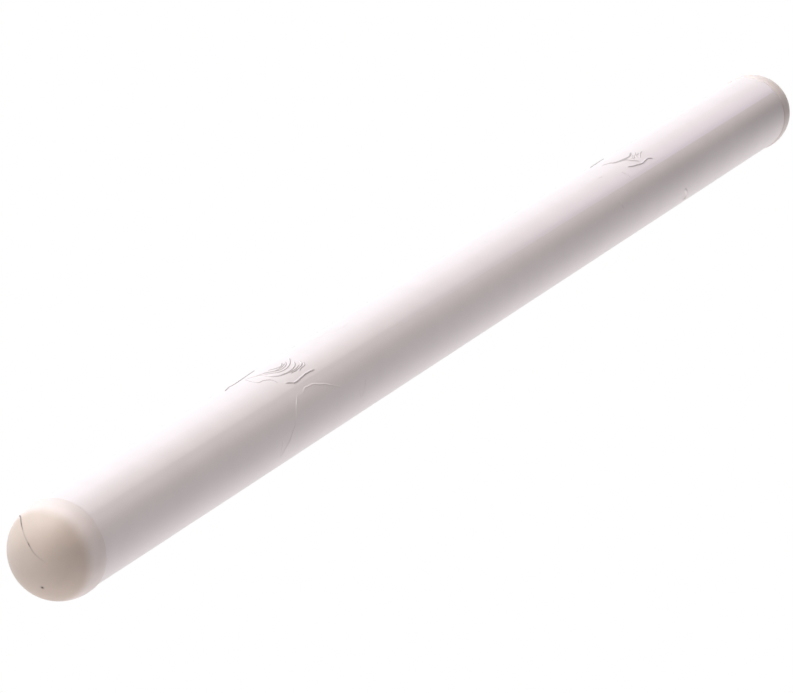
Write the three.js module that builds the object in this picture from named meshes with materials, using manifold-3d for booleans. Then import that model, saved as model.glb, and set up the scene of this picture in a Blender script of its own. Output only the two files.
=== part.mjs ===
// A straight juggling club: a film-wrapped plastic tube on a wooden core, with a domed cap at each end.
// Millimetres, +Z up. The club lies along X on the ground plane, with its near end towards -X.
// The origin is under its middle, at the height of the surface that the two cap rims rest on.

import * as THREE from "three";
import { mergeVertices } from "three/addons/utils/BufferGeometryUtils.js";
import Module from "manifold-3d";

const wasm = await Module();
wasm.setup();

// Driving dimensions.
const CLUB_LENGTH = 520; // tip to tip, the usual length of a juggling club
const CAP_DIAMETER = 28.6;
const FILM_DIAMETER = 27.8;
const FILM_THICKNESS = 0.3;
const FILM_LAP = 8; // how far the film's free edge lies over its own start
const FILM_EDGE_ANGLE = 133; // degrees from +Y towards +Z, where the free edge ends
const TUBE_DIAMETER = 27;
const TUBE_WALL = 2;
const CORE_DIAMETER = 16;

// Clearances. No two pieces touch: a glued or pressed joint keeps this film of air.
const GLUE_GAP = 0.1;
const FACE_GAP = 0.3;

// Caps.
const CAP_WALL = 2.2;
const CAP_RIM_LENGTH = 2; // the straight band between the dome and the tube's end
const CAP_EDGE_CHAMFER = 0.4;
const SKIRT_LENGTH = 12; // the part of the cap that is pressed into the tube
const SKIRT_WALL = 1.6;
const SKIRT_RIB_COUNT = 3;
const SKIRT_RIB_HEIGHT = 0.3;
const SKIRT_RIB_LEAD = 0.8; // the rib's gentle side, which goes in first
const SKIRT_RIB_BACK = 0.4; // and its steep side

// End plugs, which centre the core in the tube and carry the screw.
const PLUG_LENGTH = 20;
const PLUG_END_WALL = 6;
const PLUG_GROOVE_COUNT = 3;
const PLUG_GROOVE_DEPTH = 0.5;
const PLUG_GROOVE_WIDTH = 1.2;
const WOOD_CHAMFER = 0.8;
const PILOT_SPARE = 1; // how much deeper the core's pilot hole is than the screw

// Pan-head wood screw and its washer.
const SCREW_DIAMETER = 4;
const SCREW_LENGTH = 28; // under the head
const SCREW_HEAD_DIAMETER = 8;
const SCREW_HEAD_HEIGHT = 2.6;
const SCREW_HEAD_BAND = 0.6; // the upright edge of the head
const SCREW_SHOULDER_DIAMETER = 5.6; // where the head's crown turns in
const SCREW_SHOULDER_HEIGHT = 2.1;
const SCREW_POINT = 3;
const THREAD_PITCH = 1.8;
const THREAD_DEPTH = 0.5;
const THREAD_TURNS = 10;
const DRIVE_WIDTH = 1.1;
const DRIVE_SPAN = 4.4;
const DRIVE_DEPTH = 1.7;
const WASHER_DIAMETER = 12;
const WASHER_THICKNESS = 1;

// Foam rings that stop the core from rattling in the tube.
const CENTRING_RING_COUNT = 3;
const CENTRING_RING_LENGTH = 12;

const ROUND_SIDES = 32;
const SCREW_SIDES = 16;
const DOME_STEPS = 9;
const HOLLOW_STEPS = 7;

// Places worked out from the sizes above. Distances named "inset" are measured inwards from a cap's tip.
const capRadius = CAP_DIAMETER / 2;
const filmRadius = FILM_DIAMETER / 2;
const tubeRadius = TUBE_DIAMETER / 2;
const boreRadius = tubeRadius - TUBE_WALL;
const coreRadius = CORE_DIAMETER / 2;
const fitRadius = boreRadius - GLUE_GAP;
const halfLength = CLUB_LENGTH / 2;
const flatOf = (radius) => radius * Math.cos(Math.PI / ROUND_SIDES); // a side's distance from the axis
const axisHeight = flatOf(capRadius);
const rimInset = capRadius + CAP_RIM_LENGTH;
const tubeInset = rimInset + GLUE_GAP;
const skirtInset = rimInset + SKIRT_LENGTH;
const plugInset = skirtInset + WASHER_THICKNESS + SCREW_HEAD_HEIGHT;
const coreInset = plugInset + PLUG_END_WALL + FACE_GAP;
const tubeLength = CLUB_LENGTH - 2 * tubeInset;
const coreLength = CLUB_LENGTH - 2 * coreInset;

const material = (colour, roughness, metalness = 0) =>
  new THREE.MeshStandardMaterial({ color: colour, roughness, metalness });
const filmFinish = material(0xe9e3e3, 0.45);
const capFinish = material(0xe4dcd3, 0.32);
const tubeFinish = material(0xf1efe9, 0.5);
const beechFinish = material(0xd3aa78, 0.65);
const foamFinish = material(0x4b4d52, 0.9);
const steelFinish = material(0xb9bcc0, 0.35, 1);

// A profile of [distance along X, radius] pairs, turned about X, with one side facing straight down.
// Over the outside the profile runs from high X to low X.
function turned(profile, sides = ROUND_SIDES) {
  const points = profile.map(([along, radius]) => new THREE.Vector2(radius, along)).reverse();
  const geometry = new THREE.LatheGeometry(points, sides, Math.PI / sides);
  return geometry.rotateZ(-Math.PI / 2);
}

// A ring-shaped profile, closed on itself.
const closedTurned = (profile, sides) => turned([...profile, profile[0]], sides);

// Points of an arc in a profile: centre, radius, and the angles from +X towards the radius direction.
function profileArc(centre, radius, from, to, steps) {
  return Array.from({ length: steps + 1 }, (_, i) => {
    const angle = from + ((to - from) * i) / steps;
    return [centre[0] + radius * Math.cos(angle), centre[1] + radius * Math.sin(angle)];
  });
}

// A three.js geometry as a manifold-3d solid, with its shared vertices merged.
function solidOf(geometry) {
  const bare = geometry.clone();
  bare.deleteAttribute("normal");
  bare.deleteAttribute("uv");
  const merged = mergeVertices(bare, 1e-4);
  const mesh = new wasm.Mesh({
    numProp: 3,
    vertProperties: merged.attributes.position.array,
    triVerts: new Uint32Array(merged.index.array),
  });
  return new wasm.Manifold(mesh);
}

function geometryOf(solid) {
  const mesh = solid.getMesh();
  const geometry = new THREE.BufferGeometry();
  geometry.setAttribute("position", new THREE.BufferAttribute(mesh.vertProperties, 3));
  geometry.setIndex(new THREE.BufferAttribute(mesh.triVerts, 1));
  return geometry;
}

function piece(name, geometry, finish) {
  const mesh = new THREE.Mesh(geometry, finish);
  mesh.name = name;
  return mesh;
}

// The wrap: one sheet rolled once round the tube. Over the lap it stands one thickness higher, as far as
// its free edge.
function outerFilm() {
  const side = (2 * Math.PI) / ROUND_SIDES;
  const edge = THREE.MathUtils.degToRad(FILM_EDGE_ANGLE);
  const lapStart = edge - FILM_LAP / filmRadius;
  const raised = filmRadius + FILM_THICKNESS;
  // A point of the faceted ring whose corners lie at this radius.
  const onRing = (radius, angle) => {
    const fromMiddle = angle - Math.round(angle / side) * side;
    const reach = (radius * Math.cos(side / 2)) / Math.cos(fromMiddle);
    return new THREE.Vector2(reach * Math.cos(angle), reach * Math.sin(angle));
  };
  const corners = Array.from({ length: ROUND_SIDES }, (_, i) => (i + 0.5) * side);
  const beforeEdge = corners.filter((angle) => angle < edge);
  const afterEdge = corners.filter((angle) => angle > edge);
  const shape = new THREE.Shape([
    ...beforeEdge.map((angle) => onRing(angle > lapStart ? raised : filmRadius, angle)),
    onRing(raised, edge),
    onRing(filmRadius, edge),
    ...afterEdge.map((angle) => onRing(filmRadius, angle)),
  ]);
  const inner = filmRadius - FILM_THICKNESS;
  shape.holes.push(new THREE.Path(corners.map((angle) => onRing(inner, angle))));
  const geometry = new THREE.ExtrudeGeometry(shape, { depth: tubeLength, bevelEnabled: false });
  // The section is drawn in X and Y, and stood up into Y and Z.
  geometry.translate(0, 0, -tubeLength / 2);
  geometry.rotateX(Math.PI / 2).rotateZ(Math.PI / 2);
  return piece("outer_film", geometry, filmFinish);
}

function bodyTube() {
  const end = tubeLength / 2;
  const profile = [
    [end, boreRadius],
    [end, tubeRadius],
    [-end, tubeRadius],
    [-end, boreRadius],
  ];
  return piece("body_tube", closedTurned(profile), tubeFinish);
}

// The core: a beech dowel with chamfered ends and a pilot hole for the screw in each end.
function coreDowel() {
  const end = coreLength / 2;
  const pilotRadius = SCREW_DIAMETER / 2 + 2 * GLUE_GAP;
  const pilotFloor = end - (SCREW_LENGTH - PLUG_END_WALL + PILOT_SPARE);
  const half = [
    [pilotFloor, 0],
    [pilotFloor, pilotRadius],
    [end, pilotRadius],
    [end, coreRadius - WOOD_CHAMFER],
    [end - WOOD_CHAMFER, coreRadius],
  ];
  const otherHalf = half.map(([along, radius]) => [-along, radius]).reverse();
  return piece("core_dowel", turned([...half, ...otherHalf]), beechFinish);
}

function centringRing(name, x) {
  const half = CENTRING_RING_LENGTH / 2;
  const inner = coreRadius + GLUE_GAP;
  const profile = [
    [half, inner],
    [half, fitRadius],
    [-half, fitRadius],
    [-half, inner],
  ];
  const ring = piece(name, closedTurned(profile), foamFinish);
  ring.position.x = x;
  return ring;
}

// The pieces of an end are drawn with X measured inwards from the cap's tip.

// The cap: a hollow dome, a short straight rim against the tube's end, and a ribbed skirt inside the tube.
function endCap(name) {
  const skirtRadius = fitRadius - SKIRT_RIB_HEIGHT;
  const skirtBore = skirtRadius - SKIRT_WALL;
  const hollowRadius = capRadius - CAP_WALL;
  const domeCentre = [capRadius, 0];
  const hollowMouth = Math.PI - Math.asin(skirtBore / hollowRadius);
  const ribPitch = SKIRT_LENGTH / (SKIRT_RIB_COUNT + 1);
  const ribPlaces = Array.from({ length: SKIRT_RIB_COUNT }, (_, i) => skirtInset - (i + 1) * ribPitch);
  const ribs = ribPlaces.flatMap((at) => [
    [at + SKIRT_RIB_LEAD, skirtRadius],
    [at, fitRadius],
    [at - SKIRT_RIB_BACK, skirtRadius],
  ]);
  const profile = [
    ...profileArc(domeCentre, hollowRadius, Math.PI, hollowMouth, HOLLOW_STEPS),
    [skirtInset, skirtBore],
    [skirtInset, skirtRadius - CAP_EDGE_CHAMFER],
    [skirtInset - CAP_EDGE_CHAMFER, skirtRadius],
    ...ribs,
    [rimInset, skirtRadius],
    [rimInset, capRadius - CAP_EDGE_CHAMFER],
    [rimInset - CAP_EDGE_CHAMFER, capRadius],
    ...profileArc(domeCentre, capRadius, Math.PI / 2, Math.PI, DOME_STEPS),
  ];
  return piece(name, turned(profile), capFinish);
}

// The plug: a turned disc with a socket for the core, a screw hole and three glue grooves.
function endPlug(name) {
  const outerEnd = plugInset;
  const innerEnd = plugInset + PLUG_LENGTH;
  const socketFloor = plugInset + PLUG_END_WALL;
  const socketRadius = coreRadius + GLUE_GAP;
  const holeRadius = SCREW_DIAMETER / 2 + 2 * GLUE_GAP;
  const groovePitch = PLUG_LENGTH / (PLUG_GROOVE_COUNT + 1);
  const halfGroove = PLUG_GROOVE_WIDTH / 2;
  const grooveRadius = fitRadius - PLUG_GROOVE_DEPTH;
  const groovePlaces = Array.from({ length: PLUG_GROOVE_COUNT }, (_, i) => innerEnd - (i + 1) * groovePitch);
  const grooves = groovePlaces.flatMap((at) => [
    [at + halfGroove, fitRadius],
    [at + halfGroove, grooveRadius],
    [at - halfGroove, grooveRadius],
    [at - halfGroove, fitRadius],
  ]);
  const profile = [
    [innerEnd, socketRadius],
    [innerEnd, fitRadius - WOOD_CHAMFER],
    [innerEnd - WOOD_CHAMFER, fitRadius],
    ...grooves,
    [outerEnd + WOOD_CHAMFER, fitRadius],
    [outerEnd, fitRadius - WOOD_CHAMFER],
    [outerEnd, holeRadius],
    [socketFloor, holeRadius],
    [socketFloor, socketRadius],
  ];
  return piece(name, closedTurned(profile), beechFinish);
}

function screwWasher(name) {
  const outerFace = plugInset - GLUE_GAP - WASHER_THICKNESS;
  const innerFace = plugInset - GLUE_GAP;
  const holeRadius = SCREW_DIAMETER / 2 + 2 * GLUE_GAP;
  const profile = [
    [innerFace, holeRadius],
    [innerFace, WASHER_DIAMETER / 2],
    [outerFace, WASHER_DIAMETER / 2],
    [outerFace, holeRadius],
  ];
  return piece(name, closedTurned(profile), steelFinish);
}

// The screw: a domed head with a cross recess, a plain neck, thread ridges and a point.
function plugScrew(name) {
  const underHead = plugInset - 2 * GLUE_GAP - WASHER_THICKNESS;
  const headRadius = SCREW_HEAD_DIAMETER / 2;
  const crest = SCREW_DIAMETER / 2;
  const root = crest - THREAD_DEPTH;
  const tip = underHead + SCREW_LENGTH;
  const threadEnd = tip - SCREW_POINT;
  const turnPlaces = Array.from({ length: THREAD_TURNS }, (_, i) => threadEnd - i * THREAD_PITCH);
  const ridges = turnPlaces.flatMap((at) => [
    [at, root],
    [at - THREAD_PITCH / 2, crest],
  ]);
  const neckStart = threadEnd - THREAD_TURNS * THREAD_PITCH;
  const head = [
    [underHead, headRadius],
    [underHead - SCREW_HEAD_BAND, headRadius],
    [underHead - SCREW_SHOULDER_HEIGHT, SCREW_SHOULDER_DIAMETER / 2],
    [underHead - SCREW_HEAD_HEIGHT, 0],
  ];
  const blank = turned([[tip, 0], ...ridges, [neckStart, root], [underHead, root], ...head], SCREW_SIDES);
  const slot = (width, height) =>
    solidOf(
      new THREE.BoxGeometry(2 * DRIVE_DEPTH, width, height).translate(underHead - SCREW_HEAD_HEIGHT, 0, 0),
    );
  const cross = slot(DRIVE_WIDTH, DRIVE_SPAN).add(slot(DRIVE_SPAN, DRIVE_WIDTH));
  return piece(name, geometryOf(solidOf(blank).subtract(cross)), steelFinish);
}

// Everything that one end carries, as a group whose X runs inwards from the cap's tip.
function endFittings(end) {
  const group = new THREE.Group();
  group.add(
    endCap(`${end}_end_cap`),
    endPlug(`${end}_end_plug`),
    screwWasher(`${end}_screw_washer`),
    plugScrew(`${end}_plug_screw`),
  );
  return group;
}

const club = new THREE.Group();
club.position.z = axisHeight;
club.add(outerFilm(), bodyTube(), coreDowel());

const ringPitch = coreLength / (CENTRING_RING_COUNT + 1);
for (let i = 1; i <= CENTRING_RING_COUNT; i += 1) {
  club.add(centringRing(`centring_ring_${i}`, i * ringPitch - coreLength / 2));
}

const nearEnd = endFittings("near");
nearEnd.position.x = -halfLength;
const farEnd = endFittings("far");
farEnd.position.x = halfLength;
farEnd.rotation.z = Math.PI;
club.add(nearEnd, farEnd);

export default club;
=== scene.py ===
"""Looks for a straight juggling club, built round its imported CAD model.

Everything is in metres. The club lies along X, with its near end towards -X. Places round it are given in
degrees up from the front, which is -Y: 0 is the front, 90 the top, 180 the back and -90 the side it lies on.
"""

import logging
import math
from contextlib import contextmanager
from dataclasses import dataclass, field
from enum import Enum
from itertools import pairwise
from typing import Iterator, Sequence

import bpy
import numpy as np
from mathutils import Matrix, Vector, noise


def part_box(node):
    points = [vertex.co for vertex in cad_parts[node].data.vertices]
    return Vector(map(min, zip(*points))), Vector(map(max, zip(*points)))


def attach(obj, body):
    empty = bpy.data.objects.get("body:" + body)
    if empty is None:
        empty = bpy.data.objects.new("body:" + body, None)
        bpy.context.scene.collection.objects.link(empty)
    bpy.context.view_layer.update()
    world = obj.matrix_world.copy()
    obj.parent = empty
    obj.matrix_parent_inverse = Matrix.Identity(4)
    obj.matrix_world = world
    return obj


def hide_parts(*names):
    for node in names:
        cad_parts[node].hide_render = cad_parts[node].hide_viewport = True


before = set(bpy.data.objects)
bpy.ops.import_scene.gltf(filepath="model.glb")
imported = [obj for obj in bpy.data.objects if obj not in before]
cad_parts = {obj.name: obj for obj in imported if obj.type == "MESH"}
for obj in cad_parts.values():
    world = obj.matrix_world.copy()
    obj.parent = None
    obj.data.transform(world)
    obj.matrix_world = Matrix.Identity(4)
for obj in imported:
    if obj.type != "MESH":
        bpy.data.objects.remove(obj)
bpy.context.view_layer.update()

logging.basicConfig(level=logging.INFO, format="%(message)s")
LOG = logging.getLogger("juggling_club")

Point = tuple[float, float]
Piece = bpy.types.Object
Tree = bpy.types.NodeTree
Socket = bpy.types.NodeSocket

MM = 0.001
CAD_SIDES = 32  # every round CAD node but the screws is a prism with this many sides
CAD_SCREW_SIDES = 16
ROUND_STEPS = 96  # steps round a turned piece
WELD = 1e-6
NOISE_SPAN = (0.3, 0.7)  # where nearly all of a noise's values lie
LINE_STEP = 0.15 * MM  # between the points of a fold's line
FADE_POWER = 0.7  # under 1, a fold's ends come up steeply
BATCH = 4000  # how many points are measured against a line at once
BODY = "root"
# Apart from the near cap's scratch and speck, these carry painted shade and a painted highlight.
FILM_SHADE, LAP_HIGHLIGHT, SCRATCH_AND_SHADE, THIN_WALL_SHADE = "crease", "lap", "scratch", "thin_wall_shade"  # what the materials read off a piece
TUBE_LOW, TUBE_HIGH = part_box("body_tube")
AXIS_HEIGHT = (TUBE_LOW.z + TUBE_HIGH.z) / 2


class End(Enum):
    """The two ends of the club. The value is the way from that end's tip inwards, along X."""

    NEAR = 1
    FAR = -1

    @property
    def label(self) -> str:
        """The word that the CAD nodes of this end start with."""
        return self.name.lower()


class Part(Enum):
    """The parts of a mesh that an edit can be given. The value is the mesh's own name for them."""

    EDGES = "edges"
    FACES = "polygons"


@dataclass(frozen=True)
class Stretch:
    """The part of the club that a CAD node takes up: its two ends along X and its radius."""

    low: float
    high: float
    radius: float

    @classmethod
    def of(cls, node: str, sides: int = CAD_SIDES) -> "Stretch":
        """Measures a CAD node, whose flats stand a little inside the round they stand for."""
        low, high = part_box(node)
        return cls(low.x, high.x, (high.z - low.z) / 2 / math.cos(math.pi / sides))

    def inset(self, end: End, distance: float) -> float:
        """The X that lies this far inwards from the stretch's outer face at that end of the club."""
        outer = self.low if end is End.NEAR else self.high
        return outer + end.value * distance

    def section(self, end: End, corners: Sequence[Point]) -> list[Point]:
        """A section whose corners are given inwards from that end."""
        return [(self.inset(end, along), radius) for along, radius in corners]


# ---------------- the bench: how meshes are made


def deselect_all() -> None:
    """Leaves nothing selected, so that the next operator acts on the new piece alone."""
    bpy.ops.object.select_all(action="DESELECT")


def pick(piece: Piece) -> None:
    """Selects one piece alone, for the next operator to act on.

    Args:
        piece: The piece to select.
    """
    deselect_all()
    piece.select_set(True)
    bpy.context.view_layer.objects.active = piece


@contextmanager
def editing(piece: Piece) -> Iterator[None]:
    """Opens a piece in edit mode and closes it again.

    Args:
        piece: The piece to edit.

    Yields:
        Nothing. The piece is in edit mode meanwhile.
    """
    pick(piece)
    bpy.ops.object.mode_set(mode="EDIT")
    yield
    bpy.ops.object.mode_set(mode="OBJECT")


def take_new(name: str, stretch: Sequence[float] = (1, 1, 1)) -> Piece:
    """Names the primitive that was just added and puts its place and its size into its mesh.

    Args:
        name: The piece's name.
        stretch: How many times longer it is made along X, Y and Z.

    Returns:
        The piece, with its object at the origin.
    """
    piece = bpy.context.object
    piece.name = name
    piece.data.name = name
    piece.scale = stretch
    bpy.ops.object.transform_apply(location=True, rotation=True, scale=True)
    return piece


def smooth(piece: Piece, degrees: float = 35) -> None:
    """Shades a piece smooth, apart from edges sharper than this angle."""
    pick(piece)
    bpy.ops.object.shade_smooth_by_angle(angle=math.radians(degrees))


def apply_modifier(piece: Piece, kind: str, **settings: object) -> None:
    """Adds one modifier to a piece and applies it.

    Args:
        piece: The piece to change.
        kind: The modifier's type.
        settings: The modifier's properties.
    """
    modifier = piece.modifiers.new(kind.title(), kind)
    for key, value in settings.items():
        setattr(modifier, key, value)
    pick(piece)
    bpy.ops.object.modifier_apply(modifier=modifier.name)


def turn(name: str, section: Sequence[Point], steps: int = ROUND_STEPS) -> Piece:
    """Draws a section by extruding one vertex from corner to corner, and spins it round the club's axis.

    Args:
        name: The new piece's name.
        section: The section's corners, each its place along X and its radius. It starts and ends on the axis,
            or comes back to its first corner.
        steps: How many steps the spin takes.

    Returns:
        The turned piece, closed and facing outwards.
    """
    deselect_all()
    bpy.ops.mesh.primitive_plane_add(size=MM, location=(section[0][0], 0, AXIS_HEIGHT + section[0][1]))
    piece = take_new(name)
    bpy.context.tool_settings.mesh_select_mode = (True, False, False)
    with editing(piece):
        bpy.ops.mesh.merge(type="CENTER")
        for (x, radius), (next_x, next_radius) in pairwise(section):
            step = (next_x - x, 0, next_radius - radius)
            bpy.ops.mesh.extrude_vertices_move(TRANSFORM_OT_translate={"value": step})
        bpy.ops.mesh.select_all(action="SELECT")
        bpy.ops.mesh.spin(steps=steps, angle=math.tau, center=(0, 0, AXIS_HEIGHT), axis=(1, 0, 0))
        bpy.ops.mesh.select_all(action="SELECT")
        bpy.ops.mesh.remove_doubles(threshold=WELD)
        bpy.ops.mesh.normals_make_consistent(inside=False)
    smooth(piece)
    return piece


def arc(centre: Point, radius: float, start: float, stop: float, steps: int) -> list[Point]:
    """The points of an arc in a section.

    Args:
        centre: The arc's centre, its place along X and its radius.
        radius: The arc's own radius.
        start: Where it starts, in degrees from +X towards a greater radius.
        stop: Where it stops.
        steps: How many steps it takes.
    """
    angles = np.radians(np.linspace(start, stop, steps + 1))
    return [(centre[0] + radius * math.cos(a), centre[1] + radius * math.sin(a)) for a in angles]


def pipe(low: float, high: float, bore: float, radius: float, cut: float) -> list[Point]:
    """The section of a pipe whose corners are taken off.

    Args:
        low: Where the pipe starts along X.
        high: Where it stops.
        bore: Its inner radius.
        radius: Its outer radius.
        cut: How much is taken off each corner.
    """
    half = [(low + cut, bore), (low, bore + cut), (low, radius - cut), (low + cut, radius)]
    return [*half, *((low + high - x, r) for x, r in reversed(half)), half[0]]


def points_of(piece: Piece) -> np.ndarray:
    """A piece's vertices, as rows of X, Y and Z.

    Args:
        piece: The piece to read.

    Returns:
        One row to a vertex.
    """
    flat = np.empty(len(piece.data.vertices) * 3)
    piece.data.vertices.foreach_get("co", flat)
    return flat.reshape(-1, 3)


def move_points(piece: Piece, points: np.ndarray) -> None:
    """Puts a piece's vertices at these places."""
    piece.data.vertices.foreach_set("co", points.ravel())
    piece.data.update()


def choose(piece: Piece, part: Part, chosen: np.ndarray) -> None:
    """Selects some of a piece's edges or faces, and nothing else, for the next edit.

    Args:
        piece: The piece to select on.
        part: Whether edges or faces are chosen.
        chosen: For each edge or face, whether it is selected.
    """
    mesh = piece.data
    bpy.context.tool_settings.mesh_select_mode = (False, part is Part.EDGES, part is Part.FACES)
    for items in (mesh.vertices, mesh.edges, mesh.polygons):
        items.foreach_set("select", np.zeros(len(items), bool))
    getattr(mesh, part.value).foreach_set("select", chosen)


def subdivide(piece: Piece, part: Part, chosen: np.ndarray, cuts: int = 1) -> None:
    """Cuts the chosen edges or faces of a piece.

    Args:
        piece: The piece to refine.
        part: Whether edges or faces are cut.
        chosen: For each edge or face, whether it is cut.
        cuts: How many cuts each edge gets.
    """
    choose(piece, part, chosen)
    with editing(piece):
        bpy.ops.mesh.subdivide(number_cuts=cuts, ngon=False)


def face_centres(piece: Piece) -> np.ndarray:
    """The middles of a piece's faces, as rows of X, Y and Z.

    Args:
        piece: The piece to read.

    Returns:
        One row to a face.
    """
    flat = np.empty(len(piece.data.polygons) * 3)
    piece.data.polygons.foreach_get("center", flat)
    return flat.reshape(-1, 3)


def paint(piece: Piece, attribute: str, values: np.ndarray) -> None:
    """Stores one number for each vertex, for the piece's material to read."""
    layer = piece.data.attributes.new(attribute, "FLOAT", "POINT")
    layer.data.foreach_set("value", values.astype(np.float32))


def ease(values: np.ndarray, start: float, stop: float) -> np.ndarray:
    """Runs gently from 0 where the values are at start to 1 where they are at stop."""
    part = np.clip((values - start) / (stop - start), 0.0, 1.0)
    return part * part * (3 - 2 * part)


def smooth_line(corners: Sequence[Sequence[float]], step: float) -> np.ndarray:
    """Runs a smooth line through a few points.

    Args:
        corners: The points, each of two or three numbers.
        step: The greatest distance between two points of the line.

    Returns:
        The line's points, one to a row.
    """
    given = np.array(corners, float)
    padded = np.vstack([2 * given[0] - given[1], given, 2 * given[-1] - given[-2]])
    line = []
    for before, start, stop, after in zip(padded, padded[1:], padded[2:], padded[3:]):
        count = max(2, math.ceil(np.linalg.norm(stop - start) / step))
        for t in np.arange(count)[:, None] / count:
            bend = (2 * before - 5 * start + 4 * stop - after) * t**2
            twist = (3 * start - before - 3 * stop + after) * t**3
            line.append(start + (stop - before) * t / 2 + bend / 2 + twist / 2)
    return np.vstack([*line, given[-1:]])


def nearest(points: np.ndarray, line: np.ndarray) -> tuple[np.ndarray, np.ndarray]:
    """Finds how far each point is from a line.

    Args:
        points: The points, one to a row.
        line: The line's own points, one to a row.

    Returns:
        Each point's distance to the line, and how far along the line that is, from 0 to 1.
    """
    distance = np.empty(len(points))
    place = np.empty(len(points))
    for start in range(0, len(points), BATCH):
        batch = points[start : start + BATCH]
        gaps = np.linalg.norm(batch[:, None, :] - line[None, :, :], axis=2)
        closest = gaps.argmin(axis=1)
        distance[start : start + BATCH] = gaps[np.arange(len(batch)), closest]
        place[start : start + BATCH] = closest / max(1, len(line) - 1)
    return distance, place


# ---------------- finishes


def linear(colour: str) -> tuple[float, float, float, float]:
    """Turns an sRGB hex colour into a linear one, with full alpha."""
    parts = [int(colour[i : i + 2], 16) / 255 for i in (1, 3, 5)]
    return (*(p / 12.92 if p <= 0.04045 else ((p + 0.055) / 1.055) ** 2.4 for p in parts), 1.0)


def add_node(tree: Tree, kind: str, inputs: dict[str | int, object], **settings: object) -> bpy.types.Node:
    """Adds a shader node with its settings, and links or sets its inputs.

    Args:
        tree: The node tree.
        kind: The node's type, without the words that every shader node's type starts with.
        inputs: For each input, the socket that it is linked to, or its value.
        settings: The node's own properties.

    Returns:
        The node.
    """
    node = tree.nodes.new(f"ShaderNode{kind}")
    for key, value in settings.items():
        setattr(node, key, value)
    for key, source in inputs.items():
        if isinstance(source, Socket):
            tree.links.new(source, node.inputs[key])
        else:
            node.inputs[key].default_value = source
    return node


def new_tree(name: str) -> tuple[bpy.types.Material, Tree]:
    """An empty material and its node tree.

    Args:
        name: The material's name.

    Returns:
        The material, and its node tree with nothing in it.
    """
    material = bpy.data.materials.new(name)
    material.use_nodes = True
    material.node_tree.nodes.clear()
    return material, material.node_tree


def dress(piece: Piece, material: bpy.types.Material) -> None:
    """Gives a piece one material."""
    piece.data.materials.clear()
    piece.data.materials.append(material)


def settle(piece: Piece, node: str, material: bpy.types.Material) -> None:
    """Dresses a piece and puts it in the place of its CAD node.

    Args:
        piece: The finished piece.
        node: The CAD node that it stands for.
        material: The piece's material.
    """
    dress(piece, material)
    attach(piece, BODY)
    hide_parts(node)
    LOG.info("%s: %d faces", piece.name, len(piece.data.polygons))


def mottle(tree: Tree, place: Socket, sizes: Sequence[float], detail: float = 2.0) -> Socket:
    """A noise over a piece, with its own size along X, Y and Z.

    Args:
        tree: The node tree.
        place: The socket that gives the place on the piece.
        sizes: How large its features are along X, Y and Z, in metres.
        detail: The noise's detail.

    Returns:
        The socket that gives the noise.
    """
    spread = add_node(tree, "Mapping", {"Vector": place, "Scale": tuple(1 / size for size in sizes)})
    inputs = {"Vector": spread.outputs[0], "Scale": 1.0, "Detail": detail}
    return add_node(tree, "TexNoise", inputs).outputs["Fac"]


def blend(tree: Tree, amount: Socket, dark: str, light: str, span: Point = NOISE_SPAN) -> Socket:
    """A colour that runs from one to another as a pattern goes over a span.

    Args:
        tree: The node tree.
        amount: The socket that gives the pattern.
        dark: The colour where the pattern is low.
        light: The colour where it is high.
        span: Where the pattern counts as low, and where as high.

    Returns:
        The socket that gives the colour.
    """
    part = add_node(tree, "MapRange", {"Value": amount, "From Min": span[0], "From Max": span[1]})
    inputs = {"Factor": part.outputs["Result"], 6: linear(dark), 7: linear(light)}
    return add_node(tree, "Mix", inputs, data_type="RGBA").outputs[2]


def marked(tree: Tree, attribute: str, plain: Socket | Sequence[float], mark: str) -> Socket:
    """A colour that gives way to another as far as an attribute of the piece says.

    Args:
        tree: The node tree.
        attribute: The attribute's name.
        plain: The colour where the attribute is 0, or the socket that gives it.
        mark: The colour where it is 1.

    Returns:
        The socket that gives the colour.
    """
    amount = add_node(tree, "Attribute", {}, attribute_name=attribute)
    inputs = {"Factor": amount.outputs["Fac"], 6: plain, 7: linear(mark)}
    return add_node(tree, "Mix", inputs, data_type="RGBA").outputs[2]


def clouded(tree: Tree, pattern: Socket, plain: Socket | Sequence[float], darkest: float) -> Socket:
    """A colour with soft clouds in it, down to this part of its lightness.

    Args:
        tree: The node tree.
        pattern: The socket that gives the clouds' pattern.
        plain: The colour without clouds, or the socket that gives it.
        darkest: What is left of the colour in the darkest cloud.

    Returns:
        The socket that gives the colour.
    """
    inputs = {"Value": pattern, "From Min": NOISE_SPAN[0], "From Max": NOISE_SPAN[1], "To Min": darkest}
    tone = add_node(tree, "MapRange", inputs)
    inputs = {"Factor": 1.0, 6: plain, 7: tone.outputs["Result"]}
    return add_node(tree, "Mix", inputs, data_type="RGBA", blend_type="MULTIPLY").outputs[2]


def surface(tree: Tree, relief: Socket | None = None, depth: float = 0.0, **inputs: object) -> None:
    """Ends a material: a surface with these inputs and, if it has one, a relief.

    Args:
        tree: The node tree.
        relief: The socket that gives the relief's pattern.
        depth: The relief's depth in metres.
        inputs: The shader's other inputs, with underscores for spaces.
    """
    named = {key.replace("_", " "): value for key, value in inputs.items()}
    if relief:
        bump = add_node(tree, "Bump", {"Height": relief, "Distance": depth, "Strength": 1.0})
        named["Normal"] = bump.outputs["Normal"]
    shader = add_node(tree, "BsdfPrincipled", named)
    add_node(tree, "OutputMaterial", {"Surface": shader.outputs[0]})


@dataclass(frozen=True)
class Finish:
    """A real finish, whose pattern is drawn in the piece's own coordinates."""

    name: str
    roughness: float

    def material(self) -> bpy.types.Material:
        """Makes the material.

        Returns:
            The material, named for the finish.
        """
        material, tree = new_tree(self.name)
        self.draw(tree, add_node(tree, "TexCoord", {}).outputs["Object"])
        return material

    def draw(self, tree: Tree, place: Socket) -> None:
        """Draws the finish's own nodes."""
        raise NotImplementedError


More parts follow.
